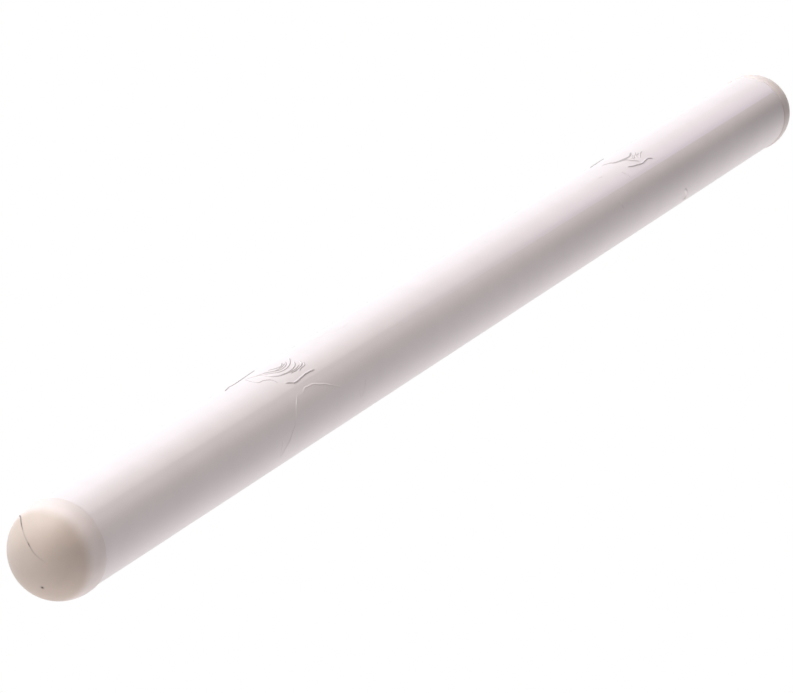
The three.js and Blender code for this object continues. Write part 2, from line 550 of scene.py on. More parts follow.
@dataclass(frozen=True)
class VinylFilm(Finish):
    """White calendered vinyl film: satin and finely embossed, with a painted highlight on its lap.

    Painted shade darkens it along its creases and on the front of its far half.
    """

    name: str = "embossed_white_vinyl_film"
    roughness: float = 0.4
    colour: str = "#E8DCDD"
    # painted highlight on the lap, where the lifted lap faces the light
    lap_highlight_colour: str = "#F2E6ED"
    # painted shade along the creases and on the far half
    film_shade_colour: str = "#756A6A"
    ior: float = 1.53
    emboss_size: float = 0.5 * MM  # coarser than the real grain, which is too fine to show
    emboss_depth: float = 0.03 * MM
    mottle_size: float = 9 * MM
    mottle_darkest: float = 0.97

    def draw(self, tree: Tree, place: Socket) -> None:
        """Draws the emboss, a faint mottle, the painted highlight on the lap and the painted shade on the
        creases and far half.

        Args:
            tree: The node tree.
            place: The socket that gives the place on the piece.
        """
        grain = add_node(tree, "TexNoise", {"Vector": place, "Scale": 1 / self.emboss_size, "Detail": 2.0})
        faint = add_node(tree, "TexNoise", {"Vector": place, "Scale": 1 / self.mottle_size, "Detail": 3.0})
        plain = clouded(tree, faint.outputs["Fac"], linear(self.colour), self.mottle_darkest)
        colour = marked(tree, FILM_SHADE, marked(tree, LAP_HIGHLIGHT, plain, self.lap_highlight_colour), self.film_shade_colour)
        look = {"Base_Color": colour, "Roughness": self.roughness, "IOR": self.ior}
        surface(tree, grain.outputs["Fac"], self.emboss_depth, **look)


@dataclass(frozen=True)
class MilkyPolyethylene(Finish):
    """Moulded low-density polyethylene: milky, so light goes a little way in, with a soft satin skin.

    It has painted shade, warmer and darker, where the wall is thin and hollow behind, and is cooler where the
    tube backs it.
    """

    name: str = "moulded_milky_polyethylene"
    roughness: float = 0.5
    colour: str = "#E3D5D2"
    # painted shade where the hollow lies behind the thin wall
    thin_wall_shade_colour: str = "#CDBBB0"
    # the near cap's scratch and speck, and painted shade on the far cap
    scratch_and_shade_colour: str = "#33272A"
    ior: float = 1.51
    gloss: float = 0.35
    translucence: float = 0.35
    light_depth: float = 2.0 * MM
    light_reach: tuple[float, float, float] = (1.0, 0.8, 0.6)  # red goes in deepest
    cloud_size: float = 6 * MM
    cloud_darkest: float = 0.95

    def draw(self, tree: Tree, place: Socket) -> None:
        """Draws the painted shade of the thin wall, faint clouds, and the scratch with the far cap's painted
        shade.

        Args:
            tree: The node tree.
            place: The socket that gives the place on the piece.
        """
        cloud = add_node(tree, "TexNoise", {"Vector": place, "Scale": 1 / self.cloud_size, "Detail": 2.0})
        # painted shade on the thin part of the wall
        wall = marked(tree, THIN_WALL_SHADE, linear(self.colour), self.thin_wall_shade_colour)
        plain = clouded(tree, cloud.outputs["Fac"], wall, self.cloud_darkest)
        surface(
            tree,
            Base_Color=marked(tree, SCRATCH_AND_SHADE, plain, self.scratch_and_shade_colour),
            Roughness=self.roughness,
            IOR=self.ior,
            Specular_IOR_Level=self.gloss,
            Subsurface_Weight=self.translucence,
            Subsurface_Scale=self.light_depth,
            Subsurface_Radius=self.light_reach,
        )


@dataclass(frozen=True)
class ExtrudedPolyethylene(Finish):
    """Extruded white polyethylene: dull, with fine lines along it from the die."""

    name: str = "extruded_white_polyethylene"
    roughness: float = 0.55
    light: str = "#EAE8E0"
    dark: str = "#DEDBD1"
    ior: float = 1.51
    line_width: float = 0.4 * MM
    line_length: float = 120 * MM
    line_depth: float = 0.02 * MM

    def draw(self, tree: Tree, place: Socket) -> None:
        """Draws the die's lines.

        Args:
            tree: The node tree.
            place: The socket that gives the place on the piece.
        """
        lines = mottle(tree, place, (self.line_length, self.line_width, self.line_width))
        colour = blend(tree, lines, self.dark, self.light)
        surface(tree, lines, self.line_depth, Base_Color=colour, Roughness=self.roughness, IOR=self.ior)


@dataclass(frozen=True)
class TurnedBeech(Finish):
    """Turned and sanded beech: a straight pinkish grain along the club, with short darker flecks."""

    name: str = "turned_beech"
    roughness: float = 0.6
    light: str = "#D8B085"
    dark: str = "#BC8A5C"
    fleck: str = "#8E5F3A"
    ior: float = 1.5
    grain_width: float = 1.2 * MM
    grain_length: float = 45 * MM
    fleck_width: float = 0.25 * MM
    fleck_length: float = 2.2 * MM
    fleck_span: Point = (0.62, 0.7)  # only the noise's peaks are flecks
    relief: float = 0.03 * MM

    def draw(self, tree: Tree, place: Socket) -> None:
        """Draws the grain and the flecks on it.

        Args:
            tree: The node tree.
            place: The socket that gives the place on the piece.
        """
        grain = mottle(tree, place, (self.grain_length, self.grain_width, self.grain_width), 4.0)
        flecks = mottle(tree, place, (self.fleck_length, self.fleck_width, self.fleck_width))
        low, high = self.fleck_span
        spots = add_node(tree, "MapRange", {"Value": flecks, "From Min": low, "From Max": high})
        plain = blend(tree, grain, self.dark, self.light)
        inputs = {"Factor": spots.outputs["Result"], 6: plain, 7: linear(self.fleck)}
        colour = add_node(tree, "Mix", inputs, data_type="RGBA").outputs[2]
        surface(tree, grain, self.relief, Base_Color=colour, Roughness=self.roughness, IOR=self.ior)


@dataclass(frozen=True)
class ClosedCellFoam(Finish):
    """Dark closed-cell foam: matt, with small cut cells."""

    name: str = "closed_cell_foam"
    roughness: float = 0.9
    light: str = "#4A4D50"
    dark: str = "#303234"
    cell_size: float = 0.5 * MM
    cell_depth: float = 0.1 * MM

    def draw(self, tree: Tree, place: Socket) -> None:
        """Draws the cells.

        Args:
            tree: The node tree.
            place: The socket that gives the place on the piece.
        """
        cells = add_node(tree, "TexVoronoi", {"Vector": place, "Scale": 1 / self.cell_size})
        deep = cells.outputs["Distance"]
        colour = blend(tree, deep, self.dark, self.light, (0.0, 0.6))
        surface(tree, deep, self.cell_depth, Base_Color=colour, Roughness=self.roughness)


@dataclass(frozen=True)
class ZincPlate(Finish):
    """Bright zinc plate on steel: a clean grey metal with a faint blotch."""

    name: str = "zinc_plated_steel"
    roughness: float = 0.3
    light: str = "#C3C6CA"
    dark: str = "#A7ABB2"
    blotch_size: float = 1.5 * MM
    blotch_depth: float = 0.005 * MM

    def draw(self, tree: Tree, place: Socket) -> None:
        """Draws the blotches.

        Args:
            tree: The node tree.
            place: The socket that gives the place on the piece.
        """
        blotch = mottle(tree, place, (self.blotch_size,) * 3)
        colour = blend(tree, blotch, self.dark, self.light)
        surface(tree, blotch, self.blotch_depth, Base_Color=colour, Roughness=self.roughness, Metallic=1.0)


# ---------------- the wrap


@dataclass(frozen=True)
class Crease:
    """A fine raised fold in the film.

    Its points are places along the club in mm and degrees round it. Its height and half-width are in mm. Both
    its ends fade out over a part of its length, and dark is how much painted shade lies along it.
    """

    points: tuple[Point, ...]
    height: float = 0.13
    width: float = 0.2
    fade: float = 0.12
    dark: float = 0.0

    def line(self, radius: float) -> np.ndarray:
        """The fold's line on the film laid flat: metres along the club and metres round it."""
        flat = [(x * MM, math.radians(angle) * radius) for x, angle in self.points]
        return smooth_line(flat, LINE_STEP)

    def strength(self, along: np.ndarray) -> np.ndarray:
        """How much of its height the fold has at each place along it."""
        return np.clip(np.minimum(along, 1 - along) / self.fade, 0.0, 1.0) ** FADE_POWER


@dataclass(frozen=True)
class Blister:
    """A spot where the film stands up over a speck of grit, with painted shade just under it.

    Its place is given as a crease's, its height and radius are in mm, and dark is how strong the painted
    shade is.
    """

    x: float
    angle: float
    height: float
    radius: float
    dark: float
    shade_spot: Point = (0.9, -1.9)  # from its middle, in mm along the club and round it
    shade_spot_size: Point = (0.7, 1.2)

    def line(self, radius: float) -> np.ndarray:
        """The way from its middle to its painted shade's middle, on the film laid flat."""
        middle = np.array([self.x * MM, math.radians(self.angle) * radius])
        return smooth_line([middle, middle + np.array(self.shade_spot) * MM], LINE_STEP)


# A fold's last number is how much painted shade lies along it.
NEAR_FAN = [
    Crease(points, 0.17, 0.15, 0.06, 0.6)
    for points in (
        (
            (-136, 107), (-134, 101), (-132, 94), (-131.5, 83),
            (-129, 76), (-124.5, 72), (-120.5, 71), (-116.5, 74),
        ),
        ((-136, 106), (-138, 92), (-137.5, 84), (-135, 82), (-133, 76), (-132.5, 67)),
        ((-131, 92), (-128, 84), (-126, 80), (-123, 79), (-120, 81), (-117, 86), (-114, 94)),
        ((-130, 96), (-127.5, 89), (-125.5, 84), (-122.5, 83), (-119.5, 86), (-117.5, 92)),
        ((-127, 95), (-124, 89), (-121.5, 88.5), (-119, 93)),
        ((-128, 75), (-124, 73), (-120.5, 74), (-118, 77), (-116, 83)),
        ((-124, 69.5), (-121, 69), (-118, 70), (-115.5, 73), (-114.5, 79)),
        ((-120, 66), (-118, 68), (-115.5, 69), (-114, 74)),
        ((-133, 99), (-129.5, 93), (-126.5, 86.5), (-122.5, 86), (-119, 89)),
    )
]
NEAR_CREASES = [
    Crease(
        ((-147, 108), (-145.5, 110), (-142.5, 113), (-140, 112), (-135, 114), (-130, 117), (-124, 121)),
        0.24, 0.25, 0.03, 1.0,
    ),
    Crease(
        (
            (-130.5, 62), (-128.5, 59), (-127, 56), (-125, 56),
            (-122.5, 57), (-120, 58), (-117.5, 58), (-114, 57),
        ),
        0.26, 0.24, 0.06, 0.35,
    ),
    Crease(
        (
            (-127.5, 38), (-125, 43), (-123, 43), (-120, 42),
            (-117.5, 38), (-114.5, 34), (-111.5, 28), (-107, 20),
        ),
    ),
    Crease(
        (
            (-129.5, 42), (-133, 32), (-135, 22), (-137, 11), (-139, 4),
            (-141, -5), (-143, -12), (-144.5, -20), (-144.5, -28),
        ),
    ),
    Crease(((-145, 2), (-145.5, -11), (-145, -22)), 0.1),
    Crease(((-92, 12), (-93, 7), (-94.5, -3), (-95.5, -11)), 0.12),
    Crease(((-97, 4), (-96, -9)), 0.1),
    Crease(((-98, 104), (-92, 101), (-86, 102)), 0.1),
    Crease(((-88, 93), (-82, 91), (-77, 93)), 0.1),
]
FAR_CREASES = [
    Crease(((113, 117), (115, 118), (120, 121), (125, 125), (129, 126)), 0.26, 0.28, 0.03, 1.0),
    Crease(
        ((113, 99), (116, 94), (117.5, 88), (120.5, 84), (123.5, 80), (125, 73), (128, 65)),
        0.22, 0.24, 0.08, 0.5,
    ),
    Crease(((121, 83), (124.5, 82), (127, 82), (130, 84), (132.5, 89)), 0.22, 0.24, 0.08, 0.5),
    Crease(((129.5, 71), (130.5, 77), (133.5, 83)), 0.2, 0.24, 0.1, 0.3),
    Crease(((126, 78), (128, 75), (130, 79), (132, 77), (134, 80)), 0.18, 0.24, 0.1, 0.3),
    Crease(
        ((118.5, 68), (121.5, 64), (124.5, 62), (127.5, 60), (130, 61), (133, 62), (136, 58)),
        0.28, 0.26, 0.06, 0.4,
    ),
    Crease(((112.5, 66), (113.5, 59), (114, 50)), 0.2),
    Crease(((116.7, 97), (119.5, 87), (124.5, 84), (128, 83), (132.5, 89)), 0.18, 0.2, 0.1, 0.5),
    Crease(((130.7, 83), (127.4, 76), (126.5, 69)), 0.16, 0.18, 0.1, 0.4),
    Crease(((136.5, 78), (133.2, 75), (130.6, 69)), 0.16, 0.18, 0.1, 0.4),
    Crease(((99, 87), (99.5, 78), (102, 77)), 0.15),
    Crease(((151, -11), (154.5, -23), (155, -30), (153.5, -34)), 0.45, 0.4),
]
BLISTERS = [Blister(97.5, 29, 0.2, 0.8, 0.3), Blister(-38, -43, 0.1, 0.6, 0.1)]


@dataclass
class WrapFilm:
    """The white film: cut as a flat sheet, creased, and rolled once round the tube with a lap."""

    thickness: float = 0.07 * MM
    end_reach: float = 0.2 * MM  # how far each end runs on, to meet the round of the cap's rim
    lap: float = 8 * MM
    lap_slope: float = 1.6 * MM  # how far the film takes to come down off the lap
    lap_gap: float = 0.005 * MM  # the glue between the two layers
    lap_highlight_fade: float = 7 * MM  # the painted highlight on the lap dies away over this much of the lap
    lap_highlight_shown: Point = (0.3, 0.8)  # and comes in between these parts of the length, from the near end
    edge_angle: float = 46.5  # degrees round the club of the free edge
    edge_height: float = 0.008 * MM  # the free edge is pressed thin
    edge_slope: float = 1.5 * MM
    edge_rows: int = 2  # rows of cells at the free edge that are cut finer
    edge_cuts: int = 9
    cells_round: int = 80
    cells_along: int = 80
    fine_cuts: int = 4  # extra columns in each cell where the creases are
    fine_reach: float = 6 * MM
    long_edge: float = 2 * MM  # an edge that runs further than this along the club is cut into columns
    refine_reach: tuple[float, ...] = (1.3 * MM, 0.85 * MM, 0.6 * MM, 0.32 * MM)
    crease_reach: float = 1.2 * MM  # how far from its line a fold can be felt
    creases: list[Crease] = field(default_factory=lambda: [*NEAR_FAN, *NEAR_CREASES, *FAR_CREASES])
    blisters: list[Blister] = field(default_factory=lambda: BLISTERS)
    waviness: float = 0.03 * MM
    wave_size: float = 22 * MM  # along the club, and half that round it
    shade_angle: float = 50
    far_shade_angle: float = 20  # degrees round the club of the middle of the painted shade on the far half
    far_shade_spread: float = 18
    far_shade_from: tuple[float, ...] = (0.5, 0.8, 0.9, 0.97)  # parts of the length, from the near end
    far_shade_amount: tuple[float, ...] = (0.0, 0.22, 0.19, 0.34)

    def __post_init__(self) -> None:
        """Reads the film's place from the frame."""
        place = Stretch.of("outer_film")
        self.low, self.high = place.low - self.end_reach, place.high + self.end_reach
        self.length = self.high - self.low
        self.radius = place.radius
        self.turn_length = math.tau * self.radius
        self.lines = [(crease, crease.line(self.radius)) for crease in self.creases]

    def build(self) -> None:
        """Makes the wrap."""
        sheet = self._cut_sheet()
        self._refine(sheet)
        self._press(sheet)
        self._roll(sheet)
        smooth(sheet, self.shade_angle)
        settle(sheet, "outer_film", VinylFilm().material())

    def _cut_sheet(self) -> Piece:
        """Cuts the sheet flat: X along the club, Y round it from the free edge, its face at Z = 0.

        Returns:
            The flat sheet, with finer rows at its free edge.
        """
        width = self.turn_length + self.lap
        deselect_all()
        bpy.ops.mesh.primitive_grid_add(
            x_subdivisions=self.cells_along,
            y_subdivisions=self.cells_round,
            size=1,
            location=((self.low + self.high) / 2, width / 2, 0),
        )
        sheet = take_new("wrap_film", (self.length, width, 1))
        apply_modifier(sheet, "SOLIDIFY", thickness=self.thickness, offset=-1)
        start, stop = self._edges(sheet)
        on_face = np.minimum(start[:, 2], stop[:, 2]) > -WELD
        round_the_club = np.abs(start[:, 1] - stop[:, 1]) > WELD
        rows = (start[:, 1] + stop[:, 1]) / 2 < self.edge_rows * width / self.cells_round
        subdivide(sheet, Part.EDGES, on_face & round_the_club & rows, self.edge_cuts)
        return sheet

    @staticmethod
    def _edges(sheet: Piece) -> tuple[np.ndarray, np.ndarray]:
        """Where each of the sheet's edges starts, and where it stops.

        Args:
            sheet: The sheet to read.

        Returns:
            The edges' first ends and their second ends, one to a row.
        """
        flat = np.empty(len(sheet.data.edges) * 2, int)
        sheet.data.edges.foreach_get("vertices", flat)
        points = points_of(sheet)
        return points[flat[::2]], points[flat[1::2]]

    def _on_map(self, points: np.ndarray) -> np.ndarray:
        """Where points of the flat sheet lie on the club: metres along it and round it from the front.

        Args:
            points: Points of the flat sheet, one to a row.

        Returns:
            The places on the club, one to a row.
        """
        back = math.radians(self.edge_angle + 180) * self.radius
        around = math.radians(self.edge_angle) * self.radius + points[:, 1]
        around = np.where(around > back, around - self.turn_length, around)
        return np.column_stack([points[:, 0], around])

    @staticmethod
    def _close(
        places: np.ndarray, shown: np.ndarray, line: np.ndarray, reach: float
    ) -> tuple[np.ndarray, np.ndarray, np.ndarray]:
        """Finds the shown places round a line.

        Args:
            places: The places on the club, one to a row.
            shown: For each place, whether it is on the film's shown face.
            line: The line's points.
            reach: How far past the line's own box a place may lie.

        Returns:
            Which places they are, their distances to the line, and how far along it they are.
        """
        low, high = line.min(axis=0) - reach, line.max(axis=0) + reach
        index = np.flatnonzero(shown & ((places > low) & (places < high)).all(axis=1))
        return index, *nearest(places[index], line)

    def _refine(self, sheet: Piece) -> None:
        """Cuts the sheet's face finer near the creases, in columns first and then cell by cell.

        Args:
            sheet: The flat sheet.
        """
        marks = np.vstack([line for _, line in self.lines])
        start, stop = self._edges(sheet)
        middle = (start + stop) / 2
        columns = np.unique(np.round(marks[:, :1], 3), axis=0)
        near_marks = nearest(middle[:, :1], columns)[0] < self.fine_reach
        along = np.abs(start[:, 0] - stop[:, 0]) > self.long_edge
        on_face = np.minimum(start[:, 2], stop[:, 2]) > -WELD
        subdivide(sheet, Part.EDGES, near_marks & along & on_face, self.fine_cuts)
        lines = [line for _, line in self.lines] + [blister.line(self.radius) for blister in self.blisters]
        for reach in self.refine_reach:
            centres = face_centres(sheet)
            shown = (centres[:, 2] > -WELD) & (centres[:, 1] < self.turn_length)
            places = self._on_map(centres)
            chosen = np.zeros(len(centres), bool)
            for line in lines:
                index, distance, _ = self._close(places, shown, line, reach)
                chosen[index] |= distance < reach
            subdivide(sheet, Part.FACES, chosen)

    def _press(self, sheet: Piece) -> None:
        """Raises the creases and blisters, makes the sheet slightly wavy, and paints shade on the creases,
        under the blisters and on the far half, and a highlight on the lap.

        Args:
            sheet: The flat sheet, cut fine.
        """
        points = points_of(sheet)
        shown = (points[:, 2] > -WELD) & (points[:, 1] < self.turn_length - WELD)
        places = self._on_map(points)
        height = np.zeros(len(points))
        tone = np.zeros(len(points))
        # painted shade along each fold, as strong as its dark says
        for crease, line in self.lines:
            index, distance, along = self._close(places, shown, line, self.crease_reach)
            ridge = np.exp(-((distance / (crease.width * MM)) ** 2)) * crease.strength(along)
            height[index] = np.maximum(height[index], ridge * crease.height * MM)
            tone[index] = np.maximum(tone[index], ridge * crease.dark)
        for blister in self.blisters:
            line = blister.line(self.radius)
            raised = (((places - line[0]) / (blister.radius * MM)) ** 2).sum(axis=1)
            height += np.exp(-raised) * shown * blister.height * MM
            # painted shade just under each blister
            shade_spot = (((places - line[-1]) / (np.array(blister.shade_spot_size) * MM)) ** 2).sum(axis=1)
            tone = np.maximum(tone, np.exp(-shade_spot) * shown * blister.dark)
        for i in np.flatnonzero(shown):
            spot = Vector((points[i, 0] / self.wave_size, places[i, 1] / self.wave_size * 2, 0))
            height[i] += noise.noise(spot) * self.waviness
        points[:, 2] += height
        move_points(sheet, points)
        # painted shade on the front of the far half, where the light falls off
        far = (points[:, 0] - self.low) / self.length
        aside = (np.degrees(places[:, 1] / self.radius) - self.far_shade_angle) / self.far_shade_spread
        far_shade = np.interp(far, self.far_shade_from, self.far_shade_amount) * np.exp(-(aside**2))
        paint(sheet, FILM_SHADE, np.maximum(tone, far_shade * shown))
        # painted highlight on the lap, growing towards the far end
        lap_highlight = np.clip(1 - points[:, 1] / self.lap_highlight_fade, 0.0, 1.0)
        paint(sheet, LAP_HIGHLIGHT, lap_highlight * np.interp(far, self.lap_highlight_shown, (0.0, 1.0)))

    def _roll(self, sheet: Piece) -> None:
        """Rolls the flat sheet round the tube. Its free edge ends up on top of its other edge.

        Args:
            sheet: The flat sheet, creased.
        """
        points = points_of(sheet)
        around = points[:, 1]
        step = 1 - ease(around, self.lap, self.lap + self.lap_slope)
        thinned = ease(around, self.edge_slope, 0.0) * (self.thickness - self.edge_height)
        on_face = points[:, 2] > -self.thickness / 2
        radius = self.radius + step * (self.thickness + self.lap_gap) + points[:, 2] - thinned * on_face
        angle = math.radians(self.edge_angle) + around / self.radius
        points[:, 1] = -radius * np.cos(angle)
        points[:, 2] = AXIS_HEIGHT + radius * np.sin(angle)
        move_points(sheet, points)


# ---------------- the caps


SCRATCH_LINE = (  # degrees from the dome's tip, and round the club
    (74, 137), (64, 129), (50, 123), (42, 119), (35, 115), (28, 108),
    (22, 99), (17, 85), (15, 68), (15, 47), (17, 30), (19, 17),
)
SCRATCH_FADE = (  # parts of its length, and how deep it is there
    (0, 0), (0.03, 1), (0.12, 0.8), (0.2, 1), (0.3, 0.9),
    (0.45, 0.25), (0.6, 0.3), (0.65, 0.8), (0.7, 0.4), (1, 0),
)
RIB = ((0.8, 0), (0.1, 1), (-0.1, 1), (-0.4, 0))  # mm inwards of its top, and parts of its height


@dataclass
class EndCap:
    """A moulded cap: a hollow dome, a short straight rim, and a ribbed skirt pressed into the tube."""

    end: End
    rim_length: float = 2 * MM
    rim_round: float = 0.9 * MM
    wall: float = 2.2 * MM
    skirt_radius: float = 11.1 * MM
    skirt_bore: float = 9.5 * MM
    skirt_round: float = 0.4 * MM
    rib_height: float = 0.3 * MM
    rib_count: int = 3
    dome_steps: int = 30
    hollow_steps: int = 16
    rim_steps: int = 5
    skirt_steps: int = 4
    speck: Point = (28, -70)
    speck_radius: float = 0.42 * MM
    scratch_width: float = 0.2 * MM
    scratch_depth: float = 0.06 * MM
    scratch_step: float = 0.1 * MM
    refine_reach: tuple[float, ...] = (1.4 * MM, 0.9 * MM, 0.6 * MM, 0.4 * MM)
    skin: float = 0.3 * MM  # what lies less deep than this is on the dome's outside
    thin_to: float = 58  # degrees from the tip where the painted shade of the thin wall starts to fade
    thick_from: float = 76
    cap_shade: float = 0.28  # how much painted shade darkens the far cap, round one height
    cap_shade_height: float = 0.25  # the middle of that shade and its spread, in radii above the axis
    cap_shade_spread: float = 0.33

    def __post_init__(self) -> None:
        """Reads the cap's place from the frame."""
        self.node = f"{self.end.label}_end_cap"
        self.stretch = Stretch.of(self.node)
        self.radius = self.stretch.radius
        self.length = self.stretch.high - self.stretch.low
        self.centre = [self.stretch.inset(self.end, self.radius), 0, AXIS_HEIGHT]

    def build(self, material: bpy.types.Material) -> None:
        """Makes the cap, with the near one's scratch or the far one's painted shade.

        Args:
            material: The material that both caps share.
        """
        cap = turn(f"{self.end.label}_cap", self.stretch.section(self.end, self._section()))
        if self.end is End.NEAR:
            self._scratch(cap)
        else:
            # painted shade on the far cap, round a height a little above its axis
            height = (points_of(cap)[:, 2] - AXIS_HEIGHT) / self.radius
            aside = (height - self.cap_shade_height) / self.cap_shade_spread
            paint(cap, SCRATCH_AND_SHADE, self.cap_shade * np.exp(-(aside**2)))
        self._paint_wall_shade(cap)
        settle(cap, self.node, material)

    def _section(self) -> list[Point]:
        """The section, from the middle of the hollow round to the tip, measured inwards from the tip.

        Returns:
            The section's corners.
        """
        hollow = self.radius - self.wall
        centre = (self.radius, 0.0)
        rim = self.radius + self.rim_length
        mouth = 180 - math.degrees(math.asin(self.skirt_bore / hollow))
        pitch = (self.length - rim) / (self.rib_count + 1)
        ribs = []
        for i in range(self.rib_count):
            top = self.length - (i + 1) * pitch
            ribs += [(top + x * MM, self.skirt_radius + self.rib_height * part) for x, part in RIB]
        end_centre = (self.length - self.skirt_round, self.skirt_radius - self.skirt_round)
        rim_centre = (rim - self.rim_round, self.radius - self.rim_round)
        return [
            *arc(centre, hollow, 180, mouth, self.hollow_steps),
            (self.length, self.skirt_bore),
            *arc(end_centre, self.skirt_round, 0, 90, self.skirt_steps),
            *ribs,
            (rim, self.skirt_radius),
            *arc(rim_centre, self.rim_round, 0, 90, self.rim_steps),
            *arc(centre, self.radius, 90, 180, self.dome_steps),
        ]

    def _paint_wall_shade(self, cap: Piece) -> None:
        """Marks where the wall is thin, for the material to paint shade there.

        Args:
            cap: The turned cap.
        """
        inset = (points_of(cap)[:, 0] - self.stretch.inset(self.end, 0)) * self.end.value
        tilt = np.degrees(np.arccos(np.clip(1 - inset / self.radius, -1, 1)))
        paint(cap, THIN_WALL_SHADE, ease(tilt, self.thick_from, self.thin_to))

    def _on_dome(self, place: Point) -> list[float]:
        """The place on the dome this many degrees from its tip and round the club.

        Args:
            place: Degrees from the tip, and degrees round the club.

        Returns:
            The place in X, Y and Z.
        """
        tilt, angle = map(math.radians, place)
        return [
            self.centre[0] - self.end.value * self.radius * math.cos(tilt),
            -self.radius * math.sin(tilt) * math.cos(angle),
            AXIS_HEIGHT + self.radius * math.sin(tilt) * math.sin(angle),
        ]

    def _scratch(self, cap: Piece) -> None:
        """Cuts the scratch and the speck into the dome, and marks them for the material.

        Args:
            cap: The turned cap.
        """
        line = smooth_line([self._on_dome(place) for place in SCRATCH_LINE], self.scratch_step)
        speck = self._on_dome(self.speck)
        for reach in self.refine_reach:
            centres = face_centres(cap)
            outside = distance_to(self.centre, centres) > self.radius - self.skin
            close = (nearest(centres, line)[0] < reach) | (distance_to(speck, centres) < reach)
            subdivide(cap, Part.FACES, outside & close)
        points = points_of(cap)
        from_centre = distance_to(self.centre, points)
        distance, along = nearest(points, line)
        cut = np.exp(-((distance / self.scratch_width) ** 2)) * np.interp(along, *zip(*SCRATCH_FADE))
        spot = np.exp(-((distance_to(speck, points) / self.speck_radius) ** 2))
        mark = np.maximum(cut, spot) * (from_centre > self.radius - self.skin)
        points -= (points - self.centre) * (mark * self.scratch_depth / from_centre)[:, None]
        move_points(cap, points)
        paint(cap, SCRATCH_AND_SHADE, mark)
        smooth(cap)


def distance_to(spot: Sequence[float], points: np.ndarray) -> np.ndarray:
    """How far each point is from one spot."""
    return np.linalg.norm(points - spot, axis=1)


# ---------------- inside the club


@dataclass
class BodyTube:
    """The extruded tube that everything else is fixed to, with its cut ends just broken."""

    wall: float = 2 * MM
    end_chamfer: float = 0.3 * MM

    def build(self) -> None:
        """Makes the tube."""
        place = Stretch.of("body_tube")
        section = pipe(place.low, place.high, place.radius - self.wall, place.radius, self.end_chamfer)
        settle(turn("tube", section), "body_tube", ExtrudedPolyethylene().material())


@dataclass
class WoodenCore:
    """The beech dowel with a pilot hole in each end, and the two turned plugs that its ends sit in."""

    chamfer: float = 0.8 * MM
    hole_radius: float = 2.2 * MM
    pilot_depth: float = 21.5 * MM
    socket_radius: float = 8.1 * MM
    plug_end_wall: float = 6 * MM
    groove_depth: float = 0.5 * MM
    groove_width: float = 1.2 * MM
    groove_count: int = 3

    def build(self) -> None:
        """Makes the dowel and its plugs."""
        beech = TurnedBeech().material()
        settle(turn("core_dowel_turned", self._dowel()), "core_dowel", beech)
        for end in End:
            node = f"{end.label}_end_plug"
            place = Stretch.of(node)
            section = place.section(end, self._plug(place))
            settle(turn(f"{end.label}_plug", section), node, beech)

    def _dowel(self) -> list[Point]:
        """The dowel's section, from the bottom of one pilot hole to the bottom of the other.

        Returns:
            The section's corners.
        """
        place = Stretch.of("core_dowel")
        half = []
        for end in End:
            corners = [
                (self.pilot_depth, 0.0),
                (self.pilot_depth, self.hole_radius),
                (0.0, self.hole_radius),
                (0.0, place.radius - self.chamfer),
                (self.chamfer, place.radius),
            ]
            half.append(place.section(end, corners))
        return half[0] + half[1][::-1]

    def _plug(self, place: Stretch) -> list[Point]:
        """A plug's section, measured inwards from its outer end.

        Args:
            place: The plug's CAD node.

        Returns:
            The section's corners.
        """
        length = place.high - place.low
        grooves = []
        for i in range(self.groove_count):
            middle = length * (i + 1) / (self.groove_count + 1)
            grooves += [
                (middle - self.groove_width / 2, place.radius),
                (middle - self.groove_width / 4, place.radius - self.groove_depth),
                (middle + self.groove_width / 4, place.radius - self.groove_depth),
                (middle + self.groove_width / 2, place.radius),
            ]
        return [
            (0.0, self.hole_radius),
            (0.0, place.radius - self.chamfer),
            (self.chamfer, place.radius),
            *grooves,
            (length - self.chamfer, place.radius),
            (length, place.radius - self.chamfer),
            (length, self.socket_radius),
            (self.plug_end_wall, self.socket_radius),
            (self.plug_end_wall, self.hole_radius),
            (0.0, self.hole_radius),
        ]


@dataclass
class CentringRings:
    """The foam rings that keep the dowel from rattling, cut from thick-walled foam pipe."""

    inner_radius: float = 8.1 * MM
    edge_round: float = 0.6 * MM
    edge_steps: int = 5
    count: int = 3

    def build(self) -> None:
        """Makes the rings."""
        foam = ClosedCellFoam().material()
        for number in range(1, self.count + 1):
            node = f"centring_ring_{number}"
            place = Stretch.of(node)
            low, high = place.low + self.edge_round, place.high - self.edge_round
            top = place.radius - self.edge_round
            section = [
                (place.low, self.inner_radius),
                *arc((low, top), self.edge_round, 180, 90, self.edge_steps),
                *arc((high, top), self.edge_round, 90, 0, self.edge_steps),
                (place.high, self.inner_radius),
                (place.low, self.inner_radius),
            ]
            settle(turn(f"foam_ring_{number}", section), node, foam)


